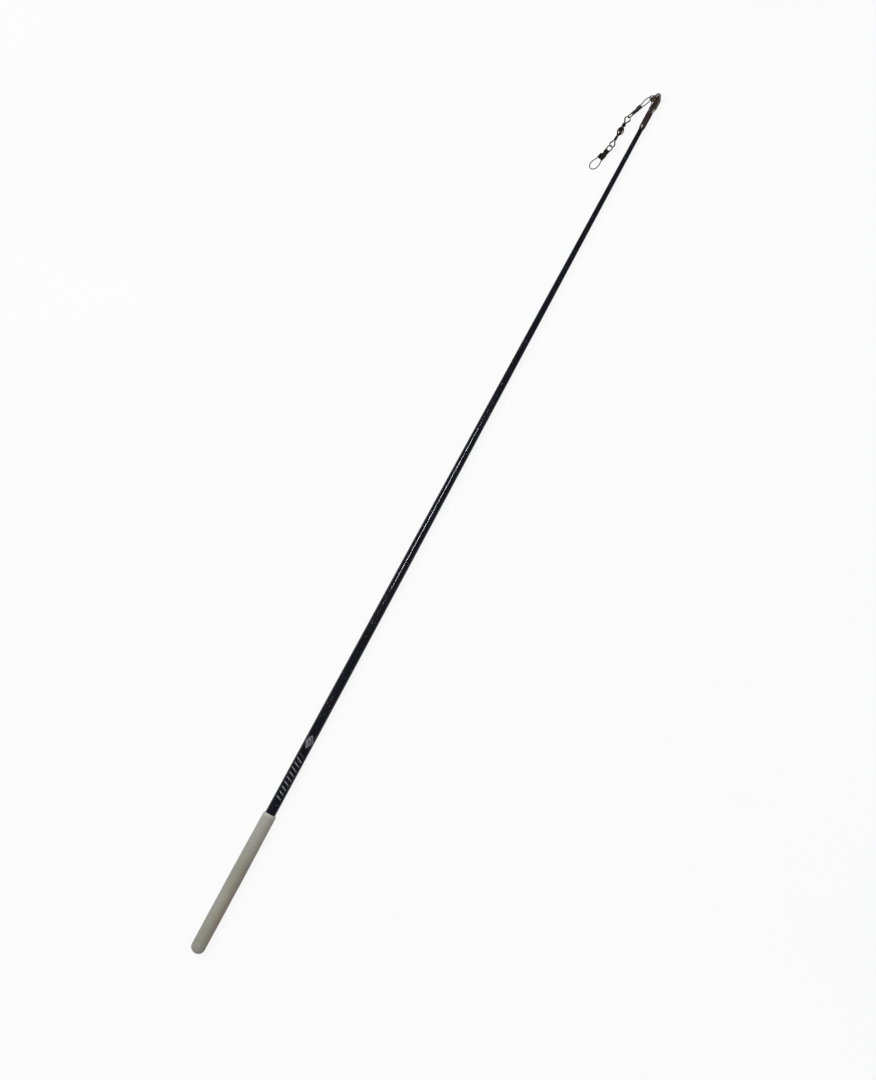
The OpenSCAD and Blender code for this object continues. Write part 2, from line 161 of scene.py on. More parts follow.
# the silver print, as distances from the butt and heights from the top line of the rod
BARS_FROM, BARS_TO = 107.2, 138
BAR_SPACING = 3.3
BAR_HALF = 0.36
BAR_SLANT = -0.45
BAR_OFFSET = 0.4
BARS_HALF_HEIGHT = 2.35
BARS_NARROWING = 0.022
LOZENGE_AT = 147.6
LOZENGE_HALF_HEIGHT = 2.8
LOZENGE_RING = 0.62
LOZENGE_SLOPE = 0.62
# where the grip's colour changes, and where a painted highlight lightens its rim, as distances
# from the butt
GRIP_HELD_FROM, GRIP_HELD_TO = 8, 62
GRIP_NEWER_FROM, GRIP_NEWER_TO = 62, 97
GRIP_RIM_HIGHLIGHT_FROM, GRIP_RIM_HIGHLIGHT_TO = 94.4, 96.4
# the studio: how bright the table and the air are, and its two lamps, in metres and watts
TABLE_HALF = 6
TABLE_GLOW = 0.9
AIR_LIGHT = 0.35
KEY_AT, KEY_SIZE, KEY_POWER = (0.28, 1.3, 2.0), (1.5, 0.9), 29
STRIP_AT, STRIP_SIZE, STRIP_POWER = (0.305, 0.62, 1.6), (0.16, 0.07), 9
# the camera: what it looks at and how much it sees, in metres
VIEW_CENTRE = (0.264584, -0.010464)
VIEW_HEIGHT = 0.663
VIEW_TURN = -61.565
LENS = 200

# ---- places ----


def joint_place(name):
    """Where a joint turns, in millimetres."""
    return Vector(next(j["pos_m"] for j in frame["joints"] if j["name"] == name)) / MM


def turn(degrees, axis):
    return Matrix.Rotation(math.radians(degrees), 4, axis)


def shift(x=0, y=0, z=0):
    return Matrix.Translation((x, y, z))


HOOK = joint_place("hook_swing")
BUTT = shift(BUTT_X)
TIP = Matrix.Translation(HOOK - HOOK_POINT)
UPPER_TURN = turn(UPPER_YAW, "Z") @ turn(UPPER_ROLL, "X")
UPPER_SNAP = Matrix.Translation(HOOK) @ UPPER_TURN @ Matrix.Translation(-HOOK_IN_SNAP)
SWIVEL_AT = UPPER_SNAP @ Vector((LINK_GAP - EYE_REACH, 0, 0))
SWIVEL = Matrix.Translation(SWIVEL_AT) @ turn(SWIVEL_YAW, "Z")
SWIVEL_TOP = SWIVEL @ turn(UPPER_EYE_ROLL, "X")
SWIVEL_BOTTOM = SWIVEL @ turn(LOWER_EYE_ROLL, "X")
LOWER_SNAP = (Matrix.Translation(joint_place("snap_swing")) @ turn(LOWER_YAW, "Z")
              @ turn(LOWER_ROLL, "X") @ shift(EYE_REACH - LINK_GAP))

# ---- shells: a shell is (points, faces), and a piece joins one or more of them ----


def smooth(points, steps):
    """A smooth curve through the points, with the given number of steps between two of them."""
    p = [Vector((*q, 0)[:3]) for q in points]
    last = len(p) - 1
    curve = []
    for i in range(last):
        a, b, c, d = p[max(i - 1, 0)], p[i], p[i + 1], p[min(i + 2, last)]
        for j in range(steps):
            t = j / steps
            curve.append(0.5 * (2 * b + (c - a) * t + (2 * a - 5 * b + 4 * c - d) * t * t
                                + (3 * b - a - 3 * c + d) * t ** 3))
    return curve + [p[last]]


def soften(points, reach, closed=False, steps=4):
    """Rounds every corner of an outline, starting the given distance before it."""
    rounded = []
    last = len(points) - 1
    for i, point in enumerate(points):
        p = Vector(point)
        if not closed and i in (0, last):
            rounded.append(p)
            continue
        before, after = Vector(points[i - 1]) - p, Vector(points[(i + 1) % len(points)]) - p
        a = p + before.normalized() * min(reach, before.length * 0.45)
        b = p + after.normalized() * min(reach, after.length * 0.45)
        for k in range(steps + 1):
            t = k / steps
            rounded.append(a * (1 - t) ** 2 + p * 2 * t * (1 - t) + b * t * t)
    return rounded


def fill(points, step, closed=False):
    """Adds points along an outline, so that none of its lines is longer than the step."""
    filled = []
    count = len(points)
    for i in range(count if closed else count - 1):
        a, b = Vector(points[i]), Vector(points[(i + 1) % count])
        parts = max(1, math.ceil((b - a).length / step))
        filled += [a.lerp(b, k / parts) for k in range(parts)]
    return filled if closed else filled + [Vector(points[-1])]


def skin(rings, closed=False, low_pole=None, high_pole=None):
    """Quads between rings that all have the same number of points. A pole closes an end."""
    sides = len(rings[0])
    points = [p for ring in rings for p in ring]
    faces = []
    for i in range(len(rings) if closed else len(rings) - 1):
        a, b = i * sides, (i + 1) % len(rings) * sides
        for k in range(sides):
            n = (k + 1) % sides
            faces.append((a + k, a + n, b + n, b + k))
    for pole, start in ((low_pole, 0), (high_pole, (len(rings) - 1) * sides)):
        if pole is not None:
            points.append(pole)
            tip = len(points) - 1
            faces += [(start + k, start + (k + 1) % sides, tip) for k in range(sides)]
    return points, faces


def lathe(profile, sides, closed=False, shape=None):
    """Turns a profile of (x, r) about X. shape(x, r, angle) may change the radius."""
    rings = []
    poles = {}
    for i, (x, r) in enumerate(profile):
        if r < 1e-6:
            poles["low_pole" if i == 0 else "high_pole"] = (x, 0, 0)
            continue
        ring = []
        for k in range(sides):
            a = math.tau * k / sides
            radius = shape(x, r, a) if shape else r
            ring.append((x, radius * math.cos(a), radius * math.sin(a)))
        rings.append(ring)
    return skin(rings, closed, **poles)


def frames(path):
    """The tangent and two cross directions at each point of a path, with no sudden turns."""
    last = len(path) - 1
    made = []
    side = Vector((0, 0, 1))
    for i in range(last + 1):
        tangent = (path[min(i + 1, last)] - path[max(i - 1, 0)]).normalized()
        side = (side - side.dot(tangent) * tangent).normalized()
        made.append((tangent, side, side.cross(tangent)))
    return made


def sweep(path, radius, sides, wide=1.0):
    """A bar along a path, with domed ends. radius is a number or one for each point."""
    radii = radius if isinstance(radius, list) else [radius] * len(path)
    made = frames(path)
    stations = list(zip(path, radii, made))
    for end, outward in ((0, -1), (-1, 1)):
        centre, r, cross = stations[end]
        dome = [(centre + cross[0] * outward * 0.5 * r * math.sin(math.radians(a)),
                 r * math.cos(math.radians(a)), cross) for a in (25, 50, 72)]
        stations = dome[::-1] + stations if end == 0 else stations + dome
    rings = []
    for centre, r, (_, side, normal) in stations:
        rings.append([centre + r * (math.cos(math.tau * k / sides) * normal
                                    + math.sin(math.tau * k / sides) * side * wide)
                      for k in range(sides)])
    ends = [path[0] - made[0][0] * 0.5 * radii[0], path[-1] + made[-1][0] * 0.5 * radii[-1]]
    return skin(rings, False, *ends)


def tube(path, outer, inner, rim, sides=24):
    """A hollow sleeve along a path. Its outside is rounded over the last rim millimetres."""
    made = frames(path)
    run = [0.0]
    for a, b in zip(path, path[1:]):
        run.append(run[-1] + (b - a).length)
    outside = []
    for s in run:
        e = min(1.0, min(s, run[-1] - s) / rim)
        outside.append(inner + (outer - inner) * (0.35 + 0.65 * math.sqrt(1 - (1 - e) ** 2)))
    rings = []
    for indices, radii in ((range(len(path)), outside),
                           (reversed(range(len(path))), [inner] * len(path))):
        for i in indices:
            _, side, normal = made[i]
            rings.append([path[i] + radii[i] * (math.cos(math.tau * k / sides) * normal
                                                + math.sin(math.tau * k / sides) * side)
                          for k in range(sides)])
    return skin(rings, closed=True)


def slab(outline, low, high, edge, steps=4):
    """A plate between two heights, from an outline in XY, with its edges rounded."""
    p = [Vector(q) for q in outline]
    count = len(p)
    area = sum(p[i - 1].x * p[i].y - p[i].x * p[i - 1].y for i in range(count))
    inward = []
    for i in range(count):
        a = (p[i] - p[i - 1]).normalized()
        b = (p[(i + 1) % count] - p[i]).normalized()
        normal = (Vector((-a.y, a.x)) + Vector((-b.y, b.x))).normalized() * math.copysign(1, area)
        inward.append(normal / max(0.5, normal.dot(Vector((-a.y, a.x)) * math.copysign(1, area))))
    levels = []
    for k in range(steps + 1):
        a = math.pi / 2 * k / steps
        levels.append((edge * (1 - math.sin(a)), edge * (1 - math.cos(a))))
    heights = [(inset, low + rise) for inset, rise in levels]
    heights += [(inset, high - rise) for inset, rise in reversed(levels)]
    rings = [[(*(p[i] + inward[i] * inset), z) for i in range(count)] for inset, z in heights]
    points, faces = skin(rings)
    top = (len(rings) - 1) * count
    return points, faces + [tuple(range(count)), tuple(range(top, top + count))]


def moved(shell, place):
    return [place @ Vector(p) for p in shell[0]], shell[1]


def arc(centre, radius, start, end, steps=8):
    """Points of an arc in a plane, from one angle to another in degrees."""
    angles = [math.radians(start + (end - start) * k / steps) for k in range(steps + 1)]
    return [(centre[0] + radius * math.cos(a), centre[1] + radius * math.sin(a)) for a in angles]


# ---- materials ----


class Finish:
    """A material built from nodes, with short ways to add to it."""

    def __init__(self, name, **sockets):
        self.material = bpy.data.materials.new(name)
        self.material.use_nodes = True
        self.tree = self.material.node_tree
        self.shader = next(n for n in self.tree.nodes if n.type == "BSDF_PRINCIPLED")
        self.set(**sockets)

    def set(self, **sockets):
        """Fills the shader's sockets by name, with _ for a space."""
        for key, value in sockets.items():
            self.join(self.shader.inputs[key.replace("_", " ")], value)

    def join(self, socket, value):
        if isinstance(value, bpy.types.NodeSocket):
            self.tree.links.new(value, socket)
        elif hasattr(socket.default_value, "__len__") and len(socket.default_value) == 4:
            socket.default_value = (*value, 1) if len(value) == 3 else value
        else:
            socket.default_value = value

    def node(self, kind, inputs=(), **settings):
        made = self.tree.nodes.new("ShaderNode" + kind)
        for key, value in settings.items():
            setattr(made, key, value)
        for key, value in dict(inputs).items():
            self.join(made.inputs[key], value)
        return made

    def place(self):
        """Coordinates in the part's own frame, in metres."""
        return self.node("TexCoord").outputs["Object"]

    def axes(self):
        """The part's own x, y and z, in metres."""
        return self.node("SeparateXYZ", {0: self.place()}).outputs

    def calc(self, what, a, b=0.0, c=0.0):
        return self.node("Math", {0: a, 1: b, 2: c}, operation=what).outputs[0]

    def stretch(self, scale):
        """The part's own frame, scaled along each axis."""
        return self.node("VectorMath", {0: self.place(), 1: scale},
                         operation="MULTIPLY").outputs[0]

    def cloud(self, scale, detail=3.0, stretch=(1, 1, 1)):
        """Soft noise with features of about 1/scale metres."""
        return self.node("TexNoise", {"Vector": self.stretch(stretch), "Scale": scale,
                                      "Detail": detail}).outputs["Fac"]

    def steps(self, value, *stops):
        """A colour ramp through (position, colour) stops."""
        ramp = self.node("ValToRGB", {"Fac": value})
        elements = ramp.color_ramp.elements
        while len(elements) < len(stops):
            elements.new(0.5)
        for element, (position, colour) in zip(elements, stops):
            element.position = position
            element.color = (*colour, 1) if not isinstance(colour, float) else (colour,) * 3 + (1,)
        return ramp.outputs["Color"]

    def band(self, value, low, high, edge):
        """1 where the value lies between low and high, with soft edges."""
        rise = self.node("MapRange", {0: value, 1: low - edge, 2: low + edge},
                         interpolation_type="SMOOTHSTEP").outputs[0]
        fall = self.node("MapRange", {0: value, 1: high - edge, 2: high + edge, 3: 1.0, 4: 0.0},
                         interpolation_type="SMOOTHSTEP").outputs[0]
        return self.calc("MULTIPLY", rise, fall)

    def blend(self, factor, a, b):
        made = self.node("Mix", data_type="RGBA")
        self.join(made.inputs[0], factor)
        self.join(made.inputs[6], a)
        self.join(made.inputs[7], b)
        return made.outputs[2]

    def bump(self, height, distance, strength):
        return self.node("Bump", {"Height": height, "Distance": distance,
                                  "Strength": strength}).outputs[0]


def print_mask(f, along, y, z):
    """Silver decoration on the top of the rod: a row of slanted bars, then a lozenge."""
    from_top = f.calc("ARCTAN2", y, z)
    arc_mm = f.calc("MULTIPLY", from_top, ROD_TAPER[0][1])
    off_top = f.calc("ABSOLUTE", arc_mm)
    slant = f.calc("MULTIPLY_ADD", arc_mm, BAR_SLANT, along)
    row = f.calc("PINGPONG", f.calc("ADD", slant, BAR_OFFSET), BAR_SPACING / 2)
    bars = f.calc("LESS_THAN", row, BAR_HALF)
    lower = f.calc("MULTIPLY", f.calc("SUBTRACT", BARS_TO + 1, along), BARS_NARROWING)
    height = f.calc("SUBTRACT", BARS_HALF_HEIGHT, lower)
    bars = f.calc("MULTIPLY", bars, f.calc("LESS_THAN", off_top, height))
    bars = f.calc("MULTIPLY", bars, f.band(slant, BARS_FROM, BARS_TO, 0.02))
    off_middle = f.calc("ABSOLUTE", f.calc("SUBTRACT", along, LOZENGE_AT))
    reach = f.calc("ADD", f.calc("MULTIPLY", off_middle, LOZENGE_SLOPE), off_top)
    ring = f.calc("PINGPONG", reach, LOZENGE_RING)
    lozenge = f.calc("MULTIPLY", f.calc("LESS_THAN", ring, BAR_HALF),
                     f.calc("LESS_THAN", reach, LOZENGE_HALF_HEIGHT))
    return f.calc("MAXIMUM", bars, lozenge)


def glitter(f, cell_mm, radius, share):
    """Round flakes of one size, each with its own random colour: (mask, colour, scatter)."""
    cells = f.node("TexVoronoi", {"Vector": f.place(), "Scale": 1 / (cell_mm * MM),
                                  "Randomness": 1.0})
    pick = f.node("SeparateColor", {0: cells.outputs["Color"]}).outputs
    near = f.calc("LESS_THAN", cells.outputs["Distance"], radius)
    mask = f.calc("MULTIPLY", near, f.calc("GREATER_THAN", pick[0], 1 - share))
    hue = f.node("CombineColor", {0: pick[1], 1: 0.5, 2: 0.4}, mode="HSV").outputs[0]
    return mask, hue, cells.outputs["Color"]


def lacquer():
    """Black gloss lacquer with sparse coloured glitter and a silver print."""
    f = Finish("lacquer", Specular_IOR_Level=0.2)
    x, y, z = f.axes()
    mm = [f.calc("MULTIPLY", axis, 1 / MM) for axis in (x, y, z)]
    shimmer = f.steps(f.cloud(140, 2.0, (0.35, 1, 1)), (0.3, (0.002, 0.002, 0.004)),
                      (0.5, (0.003, 0.0035, 0.009)), (0.7, (0.005, 0.004, 0.007)))
    large, large_hue, scatter = glitter(f, 1.25, 0.2, 0.13)
    small, small_hue, _ = glitter(f, 0.55, 0.24, 0.1)
    colour = f.blend(f.calc("MULTIPLY", small, 0.55), shimmer, small_hue)
    colour = f.blend(large, colour, large_hue)
    silver = print_mask(f, *mm)
    worn = f.steps(f.cloud(2600, 3.0), (0.3, (0.11, 0.11, 0.12)), (0.7, (0.26, 0.26, 0.27)))
    colour = f.blend(silver, colour, worn)
    flakes = f.calc("MAXIMUM", large, f.calc("MULTIPLY", small, 0.6))
    tilt = f.node("VectorMath", {0: scatter, 1: (0.5, 0.5, 0.5)}, operation="SUBTRACT").outputs[0]
    lean = f.node("VectorMath", {0: tilt, "Scale": f.calc("MULTIPLY", large, 0.7)},
                  operation="SCALE").outputs[0]
    normal = f.node("VectorMath", {0: f.node("NewGeometry").outputs["Normal"], 1: lean},
                    operation="ADD").outputs[0]
    normal = f.node("VectorMath", {0: normal}, operation="NORMALIZE").outputs[0]
    f.set(Base_Color=colour, Metallic=f.calc("MAXIMUM", flakes, f.calc("MULTIPLY", silver, 0.15)),
          Roughness=f.calc("MULTIPLY_ADD", f.calc("MAXIMUM", flakes, silver), 0.34, 0.06),
          Normal=normal)
    return f.material


def grip_rubber():
    """Matt pale grey rubber, rippled across, handled darker and browner low on one side, with a
    painted highlight on its rim.
    """
    f = Finish("grip_rubber", Specular_IOR_Level=0.3, Sheen_Weight=0.12, Sheen_Roughness=0.5)
    x, y, _ = f.axes()
    shade = f.steps(f.cloud(70, 4.0, (0.6, 1, 1)), (0.3, (0.232, 0.228, 0.190)),
                    (0.55, (0.266, 0.262, 0.219)), (0.75, (0.290, 0.287, 0.246)))
    fine = f.steps(f.cloud(1500, 3.0, (1.8, 0.6, 0.6)), (0.3, 0.88), (0.7, 1.04))
    shade = f.node("Mix", {0: 1.0, 6: shade, 7: fine}, data_type="RGBA",
                   blend_type="MULTIPLY").outputs[2]
    newer = f.node("MapRange", {0: x, 1: GRIP_NEWER_FROM * MM, 2: GRIP_NEWER_TO * MM}).outputs[0]
    shade = f.blend(f.calc("MULTIPLY", newer, 0.45), shade, (0.37, 0.37, 0.345))
    # painted highlight: the last two millimetres before the rim are lightened to pale bluish grey,
    # standing in for light catching the rim
    rim = f.node("MapRange", {0: x, 1: GRIP_RIM_HIGHLIGHT_FROM * MM, 2: GRIP_RIM_HIGHLIGHT_TO * MM, 4: 0.6}).outputs[0]
    shade = f.blend(rim, shade, (0.46, 0.47, 0.47))
    low_side = f.node("MapRange", {0: y, 1: 1.2 * MM, 2: -4.2 * MM}).outputs[0]
    held = f.band(x, GRIP_HELD_FROM * MM, GRIP_HELD_TO * MM, 12 * MM)
    patches = f.steps(f.cloud(95, 3.0, (0.45, 1, 1)), (0.42, 0.0), (0.62, 1.0))
    grime = f.calc("MULTIPLY", f.calc("MULTIPLY", low_side, held), patches)
    shade = f.blend(f.calc("MULTIPLY", grime, 0.6), shade, (0.25, 0.165, 0.125))
    bands = f.node("TexWave", {"Vector": f.place(), "Scale": 360.0, "Distortion": 1.2,
                               "Detail": 2.0, "Detail Scale": 2.0}, bands_direction="X")
    height = f.calc("MULTIPLY_ADD", bands.outputs["Fac"], 0.5, f.cloud(2600, 2.0))
    f.set(Base_Color=shade, Roughness=f.calc("MULTIPLY_ADD", f.cloud(420), 0.16, 0.62),
          Normal=f.bump(height, 0.05 * MM, 0.7))
    return f.material


def flute_shade_mask(f, y, z, count, first):
    """1 in the flutes round the fitting, where painted shade darkens it, 0 on the ribs between
    them.
    """
    angle = f.calc("SUBTRACT", f.calc("ARCTAN2", z, y), math.radians(first))
    wave = f.calc("COSINE", f.calc("MULTIPLY", angle, count))
    return f.calc("POWER", f.calc("MAXIMUM", wave, 0.0), 0.6)


def ferrule_metal():
    """Dark bronze plating, red-brown on the ferrule and golden on the nose, with painted shade
    darkening the flutes.
    """
    f = Finish("ferrule_metal", Coat_Weight=0.1, Coat_Roughness=0.2)
    x, y, z = f.axes()
    front = FERRULE_FRONT * MM
    nose = f.node("MapRange", {0: x, 1: front - 0.5 * MM, 2: front + 1.5 * MM}).outputs[0]
    plating = f.blend(nose, (0.080, 0.056, 0.053), (0.080, 0.061, 0.040))
    streaks = f.steps(f.cloud(900, 4.0, (0.25, 1, 1)), (0.3, 0.65), (0.7, 1.25))
    colour = f.node("Mix", {0: 1.0, 6: plating, 7: streaks}, data_type="RGBA",
                    blend_type="MULTIPLY").outputs[2]
    # painted shade: the flutes are darkened almost to black, standing in for the shade that falls
    # in them
    lines = f.calc("MULTIPLY", flute_shade_mask(f, y, z, 360 / FLUTE_STEP, 0),
                   f.calc("SUBTRACT", 1.0, nose))
    nose_flute_shade = f.calc("MULTIPLY", flute_shade_mask(f, y, z, NOSE_FLUTES, NOSE_FLUTE_FIRST), nose)
    lines = f.calc("ADD", lines, nose_flute_shade)
    colour = f.blend(f.calc("MULTIPLY", lines, 0.97), colour, (0.002, 0.001, 0.001))
    f.set(Base_Color=colour, Metallic=0.85,
          Roughness=f.calc("MULTIPLY_ADD", f.cloud(1600, 3.0, (0.4, 1, 1)), 0.28, 0.26),
          Normal=f.bump(f.cloud(5200, 2.0, (0.15, 1, 1)), 0.01 * MM, 0.6))
    return f.material


def plated(name, dark, light, roughness, scale, stretch=(1, 1, 1), grain=0.5):
    """Metal with mottled plating and a fine grain."""
    f = Finish(name, Metallic=0.9)
    mottle = f.cloud(scale, 4.0, stretch)
    spots = f.steps(f.cloud(scale * 0.37, 2.0), (0.35, 0.75), (0.65, 1.15))
    colour = f.node("Mix", {0: 1.0, 6: f.steps(mottle, (0.32, dark), (0.68, light)), 7: spots},
                    data_type="RGBA", blend_type="MULTIPLY").outputs[2]
    f.set(Base_Color=colour, Roughness=f.calc("MULTIPLY_ADD", mottle, 0.2, roughness - 0.1),
          Normal=f.bump(f.cloud(scale * 4, 2.0, stretch), 0.01 * MM, grain))
    return f.material


def sleeve_plastic():
    """Satin dark grey tube, slightly scuffed."""
    f = Finish("sleeve_plastic", Specular_IOR_Level=0.45)
    scuff = f.cloud(2400, 4.0, (1, 0.4, 0.4))
    f.set(Base_Color=f.steps(scuff, (0.35, (0.057, 0.045, 0.037)), (0.7, (0.116, 0.097, 0.082))),
          Roughness=f.calc("MULTIPLY_ADD", scuff, 0.25, 0.33),
          Normal=f.bump(f.cloud(6000, 2.0), 0.01 * MM, 0.5))
    return f.material


FINISHES = {
    "lacquer": lacquer(),
    "grip_rubber": grip_rubber(),
    "ferrule_metal": ferrule_metal(),
    "bright_pin": plated("bright_pin", (0.46, 0.40, 0.40), (0.68, 0.60, 0.60), 0.4, 2200),
    "wire": plated("wire", (0.007, 0.005, 0.004), (0.023, 0.017, 0.013), 0.32, 1100),
    "clasp_metal": plated("clasp_metal", (0.010, 0.007, 0.005), (0.034, 0.025, 0.018), 0.4,
                          1300, (0.2, 1, 1), 0.8),
    "cage_metal": plated("cage_metal", (0.012, 0.009, 0.006), (0.042, 0.032, 0.024), 0.36, 1200),
    "sleeve_plastic": sleeve_plastic(),
}

# ---- making pieces ----

BODY_OF = {node: body for body, nodes in frame["record"]["behaviour"]["bodies"].items()
           for node in nodes}
SLOT_OF = {part["node"]: part["material_slot"] for part in frame["record"]["subparts"]}


def make(name, node, place, *shells, sharp=38):
    """A piece that stands for one CAD node. place is its frame in millimetres."""
    mesh = bpy.data.meshes.new(name)
    bm = bmesh.new()
    for points, faces in shells:
        corners = [bm.verts.new(Vector(p) * MM) for p in points]
        for face in faces:
            bm.faces.new([corners[i] for i in face])
    bmesh.ops.recalc_face_normals(bm, faces=bm.faces)
    bm.to_mesh(mesh)
    bm.free()
    mesh.shade_smooth()
    mesh.set_sharp_from_angle(angle=math.radians(sharp))
    mesh.materials.append(FINISHES[SLOT_OF[node]])
    piece = bpy.data.objects.new(name, mesh)
    bpy.context.scene.collection.objects.link(piece)
    piece.matrix_world = Matrix.Translation(place.translation * MM) @ place.to_3x3().to_4x4()
    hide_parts(node)
    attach(piece, BODY_OF[node])
    return piece


# ---- rod and grip ----


def rod():
    """The tapered rod, with its turned-down end."""
    profile = [(GRIP_END_WALL, 0), (GRIP_END_WALL, ROD_TAPER[0][1])] + ROD_TAPER
    profile += [(ROD_TAPER[-1][0], SPIGOT_R), (ROD_END, SPIGOT_R), (ROD_END, 0)]
    make("rod", "shaft", BUTT, lathe(fill(soften(profile, 0.15), 2.5), 72))


def grip():
    """A rubber sleeve with a round closed end and an eased rim, rippled across by its mould."""
    rim = GRIP_LENGTH
    profile = arc((GRIP_R, 0), GRIP_R, 180, 90, 14)
    profile[0] = (0, 0)
    profile += [(GRIP_R + GRIP_STRAIGHT, GRIP_R)]
    edge = [(rim - 0.7, GRIP_RIM_R), (rim - 0.12, GRIP_RIM_R - 0.12), (rim, GRIP_RIM_R - 0.4),
            (rim - 0.08, 3.62), (rim - 0.6, 3.4)]
    bore = [(rim - 4, 3.37), (GRIP_END_WALL, 3.37), (GRIP_END_WALL, 0)]
    outside = fill(profile + edge[:1], 0.35)
    rounded = soften(edge, 0.25)
    ripple_height, ripple_length, lump_height, lump_length = 0.02, 1.4, 0.035, 9

    def rippled(x, r, angle):
        if r < GRIP_RIM_R - 0.02 or x < GRIP_R or x > rim - 1:
            return r
        lump = noise.noise(Vector((x / lump_length, math.cos(angle), math.sin(angle))))
        phase = math.tau * x / ripple_length + 0.8 * lump
        return r + ripple_height * math.sin(phase) + lump_height * lump

    make("grip", "grip", BUTT,
         lathe(outside[:-1] + rounded + fill(bore, 6), 96, shape=rippled))


# ---- tip fitting ----


def fluted(flute_r, depth, full_r, skipped, back, front, step=FLUTE_STEP, first=0):
    """A radius rule that cuts round flutes along a rod of radius full_r."""
    centre = full_r + flute_r - depth

    def shape(x, r, angle):
        if r < full_r - 0.02 or not back < x < front:
            return r
        fade = min(1.0, (x - back) / 0.3, (front - x) / 0.3)
        turned = (math.degrees(angle) - first) % 360
        nearest = round(turned / step) * step
        if nearest % 360 in skipped:
            return r
        off = math.radians(turned - nearest)
        across = centre * math.sin(off)
        if abs(across) >= flute_r:
            return r
        cut = centre * math.cos(off) - math.sqrt(flute_r ** 2 - across ** 2)
        return min(r, r + (cut - r) * fade)

    return shape


def ferrule():
    """The crimped ferrule, open at both ends, with a bead line near its front."""
    back, front, r = FERRULE_BACK, FERRULE_FRONT, FERRULE_R
    rod_bore, spigot_bore, bore_step = ROD_TAPER[-1][1] + BORE_SLACK, SPIGOT_R + BORE_SLACK, -24
    outside = [(back, rod_bore), (back, 1.52), (back + FERRULE_LEAD_IN, r), (front - 0.62, r),
               (front - 0.5, r - 0.06), (front - 0.38, r), (front, r)]
    inside = [(front, spigot_bore), (bore_step, spigot_bore), (bore_step, rod_bore)]
    profile = fill(soften(outside + inside, 0.08, closed=True), 0.3, closed=True)
    flutes = fluted(FLUTE_R, FLUTE_DEPTH, r, (0,), LEG_BACK - 0.6, front - 0.75)
    make("ferrule", "ferrule", TIP, lathe(profile, 180, closed=True, shape=flutes))


def pin():
    """An oval rivet head, standing just proud of the ferrule, in a thin raised seat."""

    def oval(radius):
        ends = ((1, -90, 90), (-1, 90, 270))
        return [(PIN_CENTRE + side * PIN_HALF + x, y) for side, start, end in ends
                for x, y in arc((0, 0), radius, start, end, 10)]

    make("rivet", "ferrule_pin", TIP @ turn(PIN_TURN - 90, "X"),
         slab(oval(PIN_R), PIN_INNER, PIN_OUTER, 0.2),
         slab(oval(PIN_R + 0.07), 1.4, FERRULE_R + 0.005, 0.04))


def nose():
    """The blunt fluted nose, with the lug and the lower lip beside the hoop's hook."""
    back, start, end = NOSE[0][0], NOSE[3][0], NOSE[4][0]
    bore_r = SPIGOT_R + BORE_SLACK
    bore = [(NOSE_BORE_END, 0), (NOSE_BORE_END, bore_r), (back, bore_r)]
    profile = fill(soften(bore + NOSE, 0.25), 0.2)
    flutes = fluted(NOSE_FLUTE_R, NOSE_FLUTE_DEPTH, NOSE_R, (), start + 0.3, end - 0.3,
                    360 / NOSE_FLUTES, NOSE_FLUTE_FIRST)
    make("nose", "tip_plug", TIP, lathe(profile, 180, shape=flutes),
         slab(soften(LUG, 0.3, True), LUG_LOW, LUG_HIGH, 0.12),
         slab(soften(LIP, 0.3, True), LIP_LOW, LIP_HIGH, 0.12))


def hoop():
    """The bent wire with its two legs in the ferrule, and the sleeve over part of its bend."""
    bend = smooth(HOOP, CURVE_STEPS)
    legs = [Vector((x, 0, 0)) for x in (LEG_BACK, -18, -15)]
    path = [leg + Vector((0, HOOP[0][1], 0)) for leg in legs] + bend
    path += [leg + Vector((0, HOOP[-1][1], 0)) for leg in reversed(legs)]
    thick_from, thick_over, gain = -12.2, 0.8, 0.03
    radii = [LEG_R if p.x < FERRULE_FRONT
             else HOOP_WIRE_R + gain * max(0, thick_from - p.x) / thick_over for p in path]
    make("hoop", "tip_hoop", TIP, sweep(path, radii, 24))
    part = bend[SLEEVE_FROM * CURVE_STEPS:SLEEVE_TO * CURVE_STEPS + 1]
    make("hoop_sleeve", "hoop_sleeve", TIP, tube(part, SLEEVE_R, HOOP_WIRE_R + BORE_SLACK, 0.22))


# ---- snap hooks ----


def eye_radius(full, to_end):
    """The wire's radius in an eye: full at its sides, less at its end, where the link wears it."""
    return WORN_R + (full - WORN_R) * max(0.0, min(1.0, (to_end - WORN_LENGTH) / WORN_EASE))


